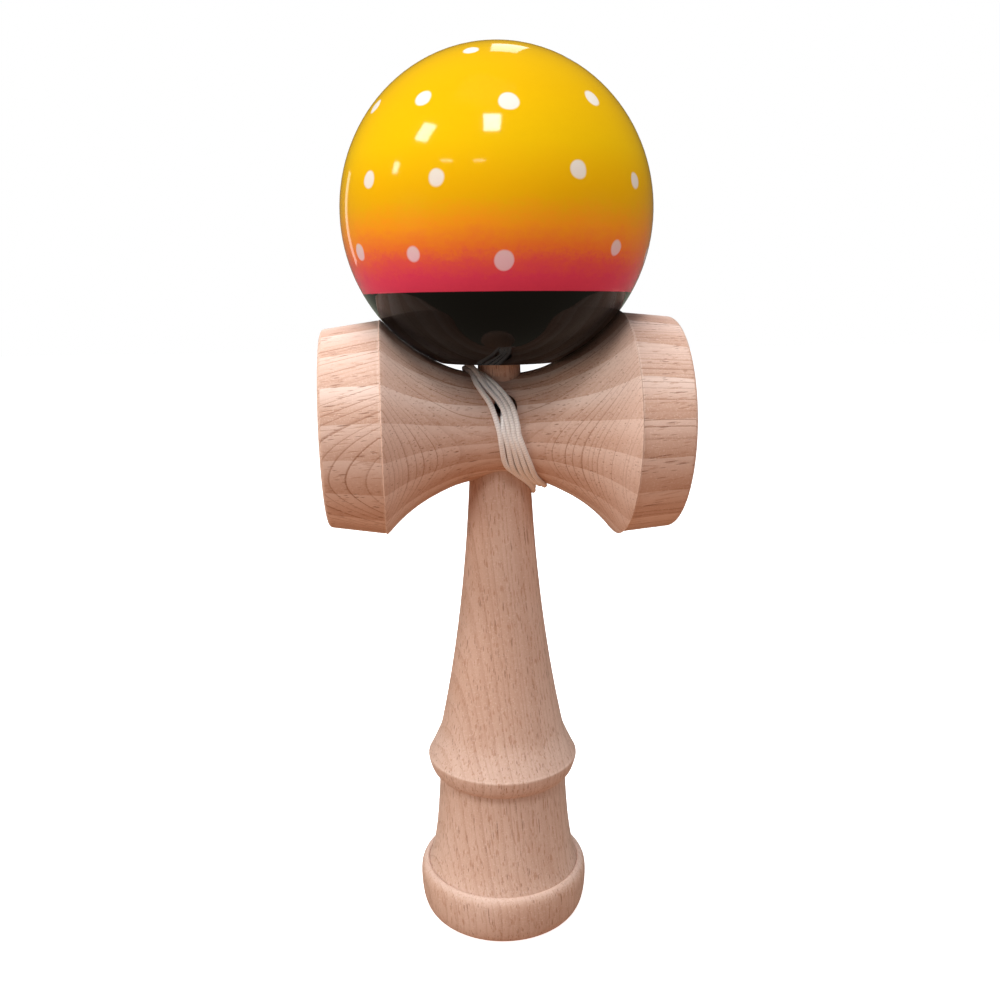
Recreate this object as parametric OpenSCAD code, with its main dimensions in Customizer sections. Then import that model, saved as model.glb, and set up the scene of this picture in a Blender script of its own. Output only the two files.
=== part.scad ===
// Kendama, a cup-and-ball toy of turned beech: a handle that ends in a spike and
// a base cup, a crosspiece with two cups, a lacquered ball and the string that
// ties them. The ball sits on the spike and the string is wound round the crossing.
// Origin at the centre of the base rim, +Z up the spike, +X to the big cup.

/* [Ball] */
// Diameter of the ball
ball_d = 60; // [54:0.5:66]
// Diameter of the hole that drops over the spike
ball_hole_d = 17; // [14:0.5:20]
// Diameter of the bevelled mouth of that hole
ball_mouth_d = 23; // [21:0.5:26]
// Diameter of the string hole at the top of the ball
ball_string_hole_d = 3; // [2.4:0.1:4]
// Diameter of the countersink round the string hole
ball_countersink_d = 4.4; // [4.2:0.1:6]

/* [Crosspiece] */
// Length over both cups
cross_l = 70; // [64:0.5:78]
// Height of the crosspiece axis above the base rim
cross_z = 109.3; // [100:0.1:125]
// Radius of the waist at the middle
waist_r = 10.4; // [9.6:0.1:11.6]
// Distance of the small cup's sharp edge from the middle
small_edge_x = 23.9; // [21:0.1:26]
// Radius of the small cup's sharp edge
small_edge_r = 21; // [19.5:0.1:22.5]
// Outer radius of the small cup's rim
small_rim_r = 19.7; // [18.5:0.1:21]
// Depth of the small cup
small_cup_depth = 9; // [7:0.1:10.5]
// Distance of the big cup's sharp edge from the middle
big_edge_x = 24.5; // [21:0.1:26]
// Radius of the big cup's sharp edge
big_edge_r = 22.4; // [21:0.1:24]
// Outer radius of the big cup's rim
big_rim_r = 21.5; // [20:0.1:23]
// Depth of the big cup
big_cup_depth = 10; // [8:0.1:11.5]
// Width of a cup's rim
cup_rim_w = 2.2; // [1.6:0.1:3]
// Rounding of a cup's outer rim
cup_rim_round = 0.9; // [0.4:0.1:1.4]
// Width of the land on a cup's sharp edge
edge_land = 0.4; // [0.3:0.1:0.8]
// Diameter of the string hole in the front of the waist
string_hole_d = 4.5; // [3.5:0.1:5.5]
// Height of the string hole above the crosspiece axis
string_hole_rise = 4.5; // [3.5:0.1:5]

/* [Handle] */
// Radius of the flat rim that the handle stands on
base_flat_r = 16.5; // [15.5:0.1:17.5]
// Largest radius of the base ring
base_r = 18.8; // [18.3:0.1:20]
// Height of the swell at the foot of the base ring
base_swell_h = 7.3; // [5:0.1:8]
// Height of the base ring up to its crease
base_ring_h = 11.4; // [10:0.1:14]
// Width of the base cup's rim
base_rim_w = 2.2; // [1.6:0.1:3]
// Depth of the base cup
base_cup_depth = 7; // [5:0.1:8]
// Radius of the neck at the base ring's crease
neck_foot_r = 17.9; // [16.5:0.1:18.2]
// Radius of the neck under the slip ring
neck_r = 14; // [12.5:0.1:15]
// Height of the crease under the slip ring
neck_top_z = 32.9; // [30:0.1:35]
// Radius of the slip ring
slip_r = 16.4; // [15.5:0.1:17.5]
// Height of the slip ring's lower edge
slip_low_z = 36.6; // [35.5:0.1:37.5]
// Height of the slip ring's upper edge
slip_top_z = 38.1; // [37.7:0.1:39.5]
// Radius of the grip where it leaves the slip ring
grip_foot_r = 13.4; // [12.4:0.1:14.4]
// Height of the grip's foot
grip_foot_z = 43.7; // [42:0.1:46]
// Radius of the grip under the crosspiece
grip_top_r = 6.35; // [5.8:0.05:6.8]
// Radius of the tenon that carries the crosspiece
tenon_r = 4.65; // [4.5:0.05:5]
// Radius of the spike where it leaves the crosspiece
spike_r = 4.35; // [4:0.05:4.45]
// Radius of the spike's rounded tip
spike_tip_r = 1.8; // [1.2:0.1:2.4]
// Length of the spike above the crosspiece
spike_l = 36; // [30:0.5:40]

/* [String and bead] */
// Diameter of the string
string_d = 1; // [0.8:0.05:1.1]
// Distance between turns of one layer, along the crosspiece
turn_pitch = 1.8; // [1.75:0.05:2]
// Rise from the lower layer of turns to the upper one
layer_rise = 1.65; // [1.6:0.05:1.9]
// Diameter of the bead inside the ball
bead_d = 6; // [5:0.1:7]
// Diameter of the bead's hole
bead_hole_d = 1.8; // [1.6:0.1:2.2]
// Diameter of a stopper knot
knot_d = 3.4; // [3:0.1:3.6]
// Length of a stopper knot
knot_l = 2.8; // [2.4:0.1:3.2]

/* [Hidden] */
$fn = 96;

// Overrun of every cut past the face that it opens
overrun = 1;
// Gap between the ball and the crosspiece that it rests on
seat_gap = 0.2;
// Radial gap of the crosspiece on the handle
press_gap = 0.05;
// Gap of the string to the wood under it
string_lie = 0.25;
// Gap of the string to the spike and to the grip beside it
string_side_gap = 0.4;
// Gap of the handle's knot in its pocket
pocket_gap = 0.4;
// Room between the spike's tip and the ball's knot
tip_room = 1.6;

// Points along each curved stretch of an outline
curve_steps = 12;
// Control points of the neck's and the grip's curves, between their lower and upper ends
neck_bow_shares = [0.93, 0.28];
grip_bow_shares = [0.79, 0.47];
// Depth of the grip's shoulder inside the crosspiece, as a share of the waist
shoulder_share = 0.47;
// Bow of the spike's side, between its root and its tip
spike_bow_shares = [0.2, 0.5];
// Height of the swell's top edge below the base ring's crease, as a share of the ring
base_round_share = 0.36;

// The string hole and the pocket behind it that holds the handle's knot
string_z = cross_z + string_hole_rise;
string_channel_d = string_d * 3;
pocket_d = knot_d + 2 * pocket_gap;
knot_face_y = pocket_gap;

// Radius of a bowl with the given rim radius and depth
function bowl_r(rim, depth) = (rim * rim + depth * depth) / (2 * depth);

// Radius of the arc that sweeps from the waist up to an edge
function sweep_r(x, rise) = (x * x + rise * rise) / (2 * rise);
small_sweep_r = sweep_r(small_edge_x - edge_land, small_edge_r - waist_r);
big_sweep_r = sweep_r(big_edge_x - edge_land, big_edge_r - waist_r);

// Radius of the waist's surface at a place along the crosspiece
function waist_at(x) =
    let (sweep = x < 0 ? small_sweep_r : big_sweep_r)
    waist_r + sweep - sqrt(sweep * sweep - x * x);

// Ball seat: its centre lies one ball radius and the gap from both cups' sharp edges, or higher
// where the mouth of its spike hole meets the sweep of a flare first
ball_r = ball_d / 2;
seat_reach = ball_r + seat_gap;
edge_run = big_edge_x + small_edge_x;
edge_climb = big_edge_r - small_edge_r;
edge_span = sqrt(edge_run * edge_run + edge_climb * edge_climb);
seat_rise = sqrt(seat_reach * seat_reach - edge_span * edge_span / 4);
mouth_lean = asin(ball_mouth_d / ball_d);
ball_x = (big_edge_x - small_edge_x) / 2 - seat_rise * edge_climb / edge_span;
function flare_seat_z(sweep, shift) =
    cross_z + waist_r + sweep - (sweep - seat_reach - shift * sin(mouth_lean)) / cos(mouth_lean);
ball_z = max(
    cross_z + (big_edge_r + small_edge_r) / 2 + seat_rise * edge_run / edge_span,
    flare_seat_z(small_sweep_r, -ball_x),
    flare_seat_z(big_sweep_r, ball_x)
);

// Heights on the spike and inside the ball
waist_top_z = cross_z + waist_r;
shoulder_z = cross_z - waist_r * shoulder_share;
tip_z = waist_top_z + spike_l;
mouth_z = ball_z - sqrt(ball_r * ball_r - ball_mouth_d * ball_mouth_d / 4);
tama_knot_z = tip_z + tip_room;
bead_z = tama_knot_z + knot_l + string_lie + bead_d / 2;
bead_sink = sqrt(bead_d * bead_d - ball_string_hole_d * ball_string_hole_d) / 2;
ball_roof_z = bead_z + bead_sink + string_lie;
ball_top_z = ball_z + ball_r;
countersink_h = (ball_countersink_d - ball_string_hole_d) / 2;
bevel_h = (ball_mouth_d - ball_hole_d) / 2;
mouth_cut_h = mouth_z - ball_z + ball_r + overrun;

// A quarter round that leaves p level and ends upright at q
function swell(p, q) =
    [for (i = [0 : curve_steps])
        let (a = 90 * i / curve_steps)
        [p.x + (q.x - p.x) * sin(a), p.y + (q.y - p.y) * (1 - cos(a))]];

// A quarter round that leaves p upright and ends level at q
function dome(p, q) =
    [for (i = [0 : curve_steps])
        let (a = 90 * i / curve_steps)
        [p.x + (q.x - p.x) * (1 - cos(a)), p.y + (q.y - p.y) * sin(a)]];

// An S-shaped shoulder that is upright at both ends
function ogee(p, q) =
    [for (i = [0 : curve_steps])
        let (t = i / curve_steps)
        [p.x + (q.x - p.x) * (1 - cos(180 * t)) / 2, p.y + (q.y - p.y) * t]];

// A bowed stretch from p to q, pulled to a control point given in shares of the stretch
function bow(p, q, shares) =
    let (c = [p.x + (q.x - p.x) * shares.x, p.y + (q.y - p.y) * shares.y])
    [for (i = [0 : curve_steps])
        let (t = i / curve_steps)
        (1 - t) * (1 - t) * p + 2 * t * (1 - t) * c + t * t * q];

// Half outline of the handle, from the base rim up to the spike's tip
ken_outline = concat(
    [[0, 0]],
    swell([base_flat_r, 0], [base_r, base_swell_h]),
    dome([base_r, max(base_swell_h, base_ring_h * (1 - base_round_share))], [neck_foot_r, base_ring_h]),
    bow([neck_foot_r, base_ring_h], [neck_r, neck_top_z], neck_bow_shares),
    swell([neck_r, neck_top_z], [slip_r, slip_low_z]),
    ogee([slip_r, slip_top_z], [grip_foot_r, grip_foot_z]),
    bow([grip_foot_r, grip_foot_z], [grip_top_r, cross_z - waist_r], grip_bow_shares),
    [[grip_top_r, shoulder_z], [tenon_r, shoulder_z], [tenon_r, waist_top_z - string_d]],
    bow([spike_r, waist_top_z], [spike_tip_r, tip_z - spike_tip_r], spike_bow_shares),
    dome([spike_tip_r, tip_z - spike_tip_r], [0, tip_z])
);

// Places along the string: turns are counted from the hole, round the crosspiece's axis.
// The first layer of turns runs to the small cup's side, and the second comes back over it.
full_turns = 4;
layer_turns = 2.25;
loop_rings = 24;
hole_angle = asin(string_hole_rise / waist_r);
end_turn = full_turns + (180 + hole_angle) / 360;
top_turn = (270 + hole_angle) / 360;
low_turn = (90 + hole_angle) / 360;
function turn_angle(turn) = hole_angle - 360 * turn;
function turn_drift(turn) = turn_pitch * (abs(turn - layer_turns) - layer_turns);
function turn_layer(turn) =
    let (t = min(1, max(0, (turn - layer_turns) * 2 + 1 / 2)))
    t * t * (3 - 2 * t);

// Swing of a turn to either side, so that it clears the spike above and the grip below
spike_side = spike_r + string_d / 2 + string_side_gap;
grip_side = grip_top_r + string_d / 2 + string_side_gap;
top_drift = max(turn_drift(top_turn), turn_drift(full_turns - 1 + top_turn));
low_drift = turn_drift(2 + low_turn);
turn_swing = max(
    (spike_side + top_drift) / (1 - sin(hole_angle)),
    (grip_side - low_drift) / (1 + sin(hole_angle))
);

function turn_point(turn) =
    let (
        a = turn_angle(turn),
        x = turn_swing * (sin(hole_angle) - sin(a)) + turn_drift(turn),
        r = waist_at(x) + string_lie + string_d / 2 + layer_rise * turn_layer(turn)
    )
    [x, -r * cos(a), cross_z + r * sin(a)];

// Route of the free string: from the winding straight to the ball, up its back and down its string hole
lead_route = [
    [1, 15, 115], [0.6, 18.7, 121.3], [0.2, 22.5, 127.5], [-0.2, 26.2, 133.8], [-0.2, 29.3, 140.4],
    [-0.2, 30.7, 147.3], [-0.2, 30.6, 153.7], [-0.2, 29, 160.5], [-0.2, 25.6, 167], [-0.2, 20.8, 172.6],
    [-0.2, 14.8, 176.9], [-0.2, 8.2, 179.6], [-0.2, 4.2, 180.5], [-0.2, 2.2, 180.6], [-0.2, 0.7, 180],
    [-0.2, 0, 178.5], [-0.2, 0, 174], [-0.2, 0, 169], [-0.2, 0, 165], [-0.2, 0, 160.1]
];
lead_ring_step = 2.5 * string_d;
lead_sides = 8;
turn_sides = 6;

// A smooth curve through four points in a row, at a share of the way from b to c
function through(a, b, c, d, t) =
    b + (c - a) * t / 2 + (2 * a - 5 * b + 4 * c - d) * t * t / 2
    + (3 * b - a - 3 * c + d) * t * t * t / 2;

// Ring centres along a route, about one step apart
function route_rings(route, step) =
    let (last = len(route) - 1)
    [for (i = [0 : last - 1])
        let (
            a = route[max(0, i - 1)],
            b = route[i],
            c = route[i + 1],
            d = route[min(last, i + 2)],
            n = max(1, round(norm(c - b) / step))
        )
        for (k = [0 : n - 1 + (i == last - 1 ? 1 : 0)]) through(a, b, c, d, k / n)];

function unit(v) = v / norm(v);

// Direction of a path at its ring i
function heading(path, i) = unit(path[min(len(path) - 1, i + 1)] - path[max(0, i - 1)]);

// A corner from p through c to q
function corner(p, c, q, steps) =
    [for (i = [0 : steps])
        let (t = i / steps)
        (1 - t) * (1 - t) * p + 2 * t * (1 - t) * c + t * t * q];

// Centres of the winding's rings: out of the knot's pocket, round the crossing and up to the free string
corner_steps = 5;
bend_turn = 1 / loop_rings;
first_point = turn_point(0);
tail_start = [0, knot_face_y, string_z];
tail_bend = [0, first_point.y + 2 * string_d, string_z];
tail_corner = [0, first_point.y, string_z];
lead_aim = unit(lead_route[1] - lead_route[0]);
lead_straight = lead_route[0] - lead_aim * string_d;
last_point = turn_point(end_turn);
last_aim = unit(last_point - turn_point(end_turn - bend_turn / 2));
last_corner = last_point + last_aim * norm(lead_straight - last_point) / 2;
turn_count = floor((end_turn - bend_turn) * loop_rings);
winding_path = concat(
    [tail_start, tail_start + [0, -string_d, 0], (tail_start + tail_bend) / 2],
    corner(tail_bend, tail_corner, turn_point(bend_turn), corner_steps),
    [for (i = [1 : turn_count]) turn_point(bend_turn + (end_turn - bend_turn) * i / turn_count)],
    [for (p = corner(last_point, last_corner, lead_straight, corner_steps)) if (p != last_point) p],
    [lead_route[0]]
);
lead_path = route_rings(lead_route, lead_ring_step);

// Distance of p from the stretch a to b
function stretch_distance(p, a, b) =
    let (t = min(1, max(0, (p - a) * (b - a) / ((b - a) * (b - a)))))
    norm(p - a - t * (b - a));

// Least gap of the winding to itself, half a loop or more along it
rest_rings = loop_rings / 2;
winding_gap = min([
    for (i = [0 : len(winding_path) - 1])
        for (j = [i + rest_rings : 1 : len(winding_path) - 2])
            stretch_distance(winding_path[i], winding_path[j], winding_path[j + 1])
]) - string_d;
echo(winding_gap = winding_gap, winding_rings = len(winding_path), lead_rings = len(lead_path));

// One closed tube along a path that never runs along X
module tube(path, d, sides) {
    last = len(path) - 1;
    points = [for (i = [0 : last])
        let (
            aim = heading(path, i),
            across = unit([1, 0, 0] - aim.x * aim),
            over = cross(aim, across)
        )
        for (k = [0 : sides - 1])
            path[i] + (across * cos(360 * k / sides) + over * sin(360 * k / sides)) * d / 2];
    walls = [for (i = [0 : last - 1])
        for (k = [0 : sides - 1])
            let (a = i * sides + k, b = i * sides + (k + 1) % sides)
            for (face = [[a, a + sides, b], [b, a + sides, b + sides]]) face];
    ends = [for (k = [1 : sides - 2])
        for (face = [[0, k, k + 1], [last * sides, last * sides + k + 1, last * sides + k]]) face];
    polyhedron(points = points, faces = concat(walls, ends), convexity = 10);
}

// A stopper knot, drawn tight: a short barrel with flat ends, along Z from zero
module stopper_knot() {
    neck = string_d;
    rotate_extrude()
        polygon(concat(
            [[0, 0]],
            swell([neck, 0], [knot_d / 2, knot_l / 2]),
            dome([knot_d / 2, knot_l / 2], [neck, knot_l]),
            [[0, knot_l]]
        ));
}

// Half of the crosspiece, turned about Z, from the middle out to one cup
module cup_half(edge_x, edge_r, rim_r, sweep, depth) {
    end_x = cross_l / 2;
    inner_r = rim_r - cup_rim_w;
    bowl = bowl_r(inner_r, depth);
    difference() {
        rotate_extrude()
            difference() {
                polygon(concat(
                    [[0, 0], [edge_r, 0], [edge_r, edge_x]],
                    dome([rim_r, end_x - cup_rim_round], [rim_r - cup_rim_round, end_x]),
                    [[0, end_x]]
                ));
                translate([waist_r + sweep, 0]) circle(r = sweep);
            }
        translate([0, 0, end_x - depth + bowl]) sphere(r = bowl);
    }
}

// Handle: base cup, neck, slip ring, grip, tenon and spike, turned from one piece
module ken() {
    inner_r = base_flat_r - base_rim_w;
    bowl = bowl_r(inner_r, base_cup_depth);
    color("burlywood")
    difference() {
        rotate_extrude() polygon(ken_outline);
        translate([0, 0, base_cup_depth - bowl]) sphere(r = bowl);
        translate([0, knot_face_y, string_z])
            rotate([90, 0, 0]) cylinder(d = string_channel_d, h = tenon_r + overrun);
        translate([0, tenon_r + overrun, string_z])
            rotate([90, 0, 0]) cylinder(d = pocket_d, h = tenon_r + overrun - knot_face_y + pocket_gap / 2);
    }
}

// Crosspiece: small cup on the left, big cup on the right, bored for the tenon and the grip
module sarado() {
    color("tan")
    difference() {
        translate([0, 0, cross_z]) {
            rotate([0, 90, 0]) cup_half(big_edge_x, big_edge_r, big_rim_r, big_sweep_r, big_cup_depth);
            rotate([0, -90, 0])
                cup_half(small_edge_x, small_edge_r, small_rim_r, small_sweep_r, small_cup_depth);
        }
        translate([0, 0, cross_z - waist_r - overrun])
            cylinder(r = tenon_r + press_gap, h = 2 * (waist_r + overrun));
        translate([0, 0, cross_z - waist_r - overrun])
            cylinder(r = grip_top_r + press_gap, h = shoulder_z - cross_z + waist_r + overrun);
        translate([0, 0, string_z])
            rotate([90, 0, 0]) cylinder(d = string_hole_d, h = waist_r + overrun);
    }
}

// Ball with its bevelled spike hole below and its string hole at the top
module tama() {
    color("gold")
    translate([ball_x, 0, 0])
    difference() {
        translate([0, 0, ball_z]) sphere(r = ball_r);
        translate([0, 0, ball_z - ball_r - overrun])
            cylinder(d = ball_hole_d, h = ball_roof_z - ball_z + ball_r + overrun);
        translate([0, 0, mouth_z - mouth_cut_h])
            cylinder(
                d1 = ball_mouth_d + 2 * mouth_cut_h,
                d2 = ball_hole_d,
                h = mouth_cut_h + bevel_h
            );
        translate([0, 0, ball_z]) cylinder(d = ball_string_hole_d, h = ball_r + overrun);
        translate([0, 0, ball_top_z - countersink_h])
            cylinder(
                d1 = ball_string_hole_d,
                d2 = ball_countersink_d + 2 * overrun,
                h = countersink_h + overrun
            );
    }
}

// Bead that stops the string inside the ball
module bead() {
    color("peru")
    translate([ball_x, 0, bead_z])
    difference() {
        sphere(d = bead_d);
        translate([0, 0, -bead_d]) cylinder(d = bead_hole_d, h = 2 * bead_d);
    }
}

// String wound round the crossing, from the handle's knot to where it leaves for the ball
module string_winding() {
    color("ivory") tube(winding_path, string_d, turn_sides);
}

// Free string behind the ball, into its top and through the bead
module string_lead() {
    color("ivory") tube(lead_path, string_d, lead_sides);
}

// Knot in its pocket in the handle
module ken_knot() {
    color("ivory") translate([0, knot_face_y, string_z]) rotate([-90, 0, 0]) stopper_knot();
}

// Knot under the bead
module tama_knot() {
    color("ivory") translate([ball_x, 0, tama_knot_z]) stopper_knot();
}

ken();
sarado();
tama();
bead();
string_winding();
string_lead();
ken_knot();
tama_knot();
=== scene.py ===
import math

import bpy
import numpy as np
from mathutils import Matrix, Vector


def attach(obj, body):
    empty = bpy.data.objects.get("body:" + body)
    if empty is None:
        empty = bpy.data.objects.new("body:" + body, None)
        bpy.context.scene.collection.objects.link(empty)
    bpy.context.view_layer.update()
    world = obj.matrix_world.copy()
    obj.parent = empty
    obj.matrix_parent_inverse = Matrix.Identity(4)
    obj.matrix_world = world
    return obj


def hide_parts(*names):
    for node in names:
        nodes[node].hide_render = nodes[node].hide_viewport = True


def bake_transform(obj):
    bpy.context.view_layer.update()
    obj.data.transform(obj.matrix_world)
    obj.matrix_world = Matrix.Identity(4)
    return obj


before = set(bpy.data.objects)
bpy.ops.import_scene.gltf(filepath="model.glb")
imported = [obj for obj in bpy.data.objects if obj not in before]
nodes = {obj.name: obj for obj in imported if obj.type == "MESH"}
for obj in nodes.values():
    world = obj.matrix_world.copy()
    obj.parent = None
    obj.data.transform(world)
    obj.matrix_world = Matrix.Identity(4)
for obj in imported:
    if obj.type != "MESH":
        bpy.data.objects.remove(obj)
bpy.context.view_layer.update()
MM = 0.001

# Sizes of the part, in millimetres
BALL_R = 30.0
BALL_X = -0.222
BALL_Z = 149.897
BALL_HOLE_R = 8.5
BALL_STRING_HOLE_R = 1.5
CROSS_Z = 109.3
WAIST_R = 10.4
SMALL_EDGE = (23.9, 21.0)
BIG_EDGE = (24.5, 22.4)
EDGE_LAND = 0.4
STRING_D = 1.0
STRING_LIFT = 0.55
HOLE_RISE = 4.5
KNOT_D = 3.4
KNOT_L = 2.8
KEN_KNOT = (0.0, 0.4, CROSS_Z + HOLE_RISE)
BALL_KNOT = (BALL_X, 0.0, 157.3)


# Camera, fitted to the photograph: place in millimetres, angles in radians

CAMERA_PLACE = (-19.874, -187.338, 132.207)
YAW, PITCH, ROLL = -0.105, -0.250, -0.009
SENSOR_W = 36
LENS_SHARE = 0.920
IMAGE_SHIFT = 0.0454
CLIP_NEAR = 0.01


def place_camera():
    """A camera at the photograph's place and angle, with the image taken as square."""
    place = Vector(CAMERA_PLACE) * MM
    right = Vector((math.cos(YAW), math.sin(YAW), 0))
    ahead = Vector((
        -math.sin(YAW) * math.cos(PITCH),
        math.cos(YAW) * math.cos(PITCH),
        math.sin(PITCH),
    ))
    up = right.cross(ahead)
    across = right * math.cos(ROLL) + up * math.sin(ROLL)
    upward = up * math.cos(ROLL) - right * math.sin(ROLL)
    data = bpy.data.cameras.new("photo_camera")
    data.sensor_width = SENSOR_W
    data.lens = SENSOR_W * LENS_SHARE
    data.shift_y = IMAGE_SHIFT
    data.clip_start = CLIP_NEAR
    camera = bpy.data.objects.new("photo_camera", data)
    camera.matrix_world = Matrix((
        (across.x, upward.x, -ahead.x, place.x),
        (across.y, upward.y, -ahead.y, place.y),
        (across.z, upward.z, -ahead.z, place.z),
        (0, 0, 0, 1),
    ))
    bpy.context.scene.collection.objects.link(camera)
    bpy.context.scene.camera = camera


place_camera()


# Materials

class Link:
    """One output of a node. Arithmetic on it adds Math nodes."""

    def __init__(self, graph, socket):
        self.graph = graph
        self.socket = socket

    def __add__(self, other):
        return self.graph.math("ADD", self, other)

    def __sub__(self, other):
        return self.graph.math("SUBTRACT", self, other)

    def __mul__(self, other):
        return self.graph.math("MULTIPLY", self, other)

    def __truediv__(self, other):
        return self.graph.math("DIVIDE", self, other)

    def __rsub__(self, other):
        return self.graph.math("SUBTRACT", other, self)

    def __rtruediv__(self, other):
        return self.graph.math("DIVIDE", other, self)

    def __neg__(self):
        return self.graph.math("MULTIPLY", self, -1)

    def __abs__(self):
        return self.graph.math("ABSOLUTE", self)

    __radd__ = __add__
    __rmul__ = __mul__


class Graph:
    """The nodes of a material or of the sky, and the shader that they feed."""

    def __init__(self, tree, shader):
        self.tree = tree
        self.shader = tree.nodes[shader]

    def node(self, kind, settings=None, sockets=None, out=0):
        """Adds a node, its settings first and then its sockets, and gives one output or several."""
        made = self.tree.nodes.new("ShaderNode" + kind)
        for key, value in (settings or {}).items():
            setattr(made, key, value)
        for key, value in (sockets or {}).items():
            self.feed(made.inputs[key], value)
        if isinstance(out, tuple):
            return [Link(self, made.outputs[name]) for name in out]
        return Link(self, made.outputs[out])

    def feed(self, socket, value):
        if isinstance(value, Link):
            self.tree.links.new(value.socket, socket)
        else:
            socket.default_value = value

    def set(self, socket, value):
        """Gives the shader's socket a value or a link."""
        self.feed(self.shader.inputs[socket], value)

    def math(self, operation, *values):
        return self.node("Math", {"operation": operation}, dict(enumerate(values)))

    def vector(self, operation, *vectors, scale=None, out="Vector"):
        sockets = dict(enumerate(vectors))
        if scale is not None:
            sockets["Scale"] = scale
        return self.node("VectorMath", {"operation": operation}, sockets, out)

    def parts(self, vector):
        return self.node("SeparateXYZ", None, {0: vector}, out=("X", "Y", "Z"))

    def join(self, x, y, z):
        return self.node("CombineXYZ", None, {"X": x, "Y": y, "Z": z})

    def noise(self, vector, scale=1, detail=2, roughness=0.5, out="Fac"):
        sockets = {"Vector": vector, "Scale": scale, "Detail": detail, "Roughness": roughness}
        return self.node("TexNoise", None, sockets, out)

    def drift(self, vector, scale=1, detail=2):
        """A noise vector about zero."""
        return self.vector("SUBTRACT", self.noise(vector, scale, detail, out="Color"), (0.5, 0.5, 0.5))

    def chance(self, number):
        """A chance value from 0 to 1 for each whole number."""
        return self.node("TexWhiteNoise", {"noise_dimensions": "1D"}, {"W": number}, out="Value")

    def step(self, value, start, end):
        """A smooth step from 0 at start to 1 at end."""
        sockets = {"Value": value, "From Min": start, "From Max": end}
        return self.node("MapRange", {"interpolation_type": "SMOOTHSTEP"}, sockets)

    def most(self, a, b):
        return self.math("MAXIMUM", a, b)

    def mix(self, share, a, b):
        """Colour a with a share of colour b."""
        a, b = [c if isinstance(c, Link) else (*c, 1) for c in (a, b)]
        return self.node("Mix", {"data_type": "RGBA"}, {0: share, 6: a, 7: b}, out=2)

    def ramp(self, value, stops):
        """A colour ramp: the place and the colour of each stop."""
        made = self.node("ValToRGB", None, {0: value})
        elements = made.socket.node.color_ramp.elements
        while len(elements) < len(stops):
            elements.new(1)
        for element, (place, colour) in zip(elements, stops):
            element.position = place
            element.color = (*colour, 1)
        return made


class Finish(Graph):
    """A material made of one Principled shader, with its constants, and the nodes that feed it."""

    def __init__(self, name, **constants):
        self.material = bpy.data.materials.new(name)
        self.material.use_nodes = True
        super().__init__(self.material.node_tree, "Principled BSDF")
        for socket, value in constants.items():
            self.set(socket.replace("_", " "), value)

    def point(self):
        """The point's own place in millimetres."""
        return self.vector("SCALE", self.node("TexCoord", out="Object"), scale=1 / MM)

    def bump(self, height, strength, distance):
        sockets = {"Strength": strength, "Distance": distance, "Height": height}
        self.set("Normal", self.node("Bump", None, sockets))


# String: one braided cord from the knot in the handle, round the crossing and over the ball

def waist_at(x):
    """Radius of the crosspiece's waist at a place along it, in millimetres."""
    edge_x, edge_r = SMALL_EDGE if x < 0 else BIG_EDGE
    run, rise = edge_x - EDGE_LAND, edge_r - WAIST_R
    sweep = (run * run + rise * rise) / (2 * rise)
    return WAIST_R + sweep - math.sqrt(sweep * sweep - x * x)


def on_waist(x, angle, lift=STRING_LIFT):
    """A point beside the waist: the angle climbs from the front over the top."""
    r = waist_at(x) + lift
    turn = math.radians(angle)
    return (x, -r * math.cos(turn), CROSS_Z + r * math.sin(turn))


# Out of the handle's hole and down the front
STRING_TAIL = [
    (0, 3.2, 113.8), (0, 0.4, 113.8), (0, -3, 113.8), (0, -6.2, 113.75), (-0.15, -8.6, 113.2),
    (-0.4, -10.2, 112.0), on_waist(-0.45, 4), on_waist(0.38, -12.7), on_waist(1.47, -37.4),
    on_waist(3.0, -55.4, 0.6), (4.7, -5.15, 98.9), (6.0, -3.5, 97.8), (7.0, 0, 96.6),
]
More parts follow.
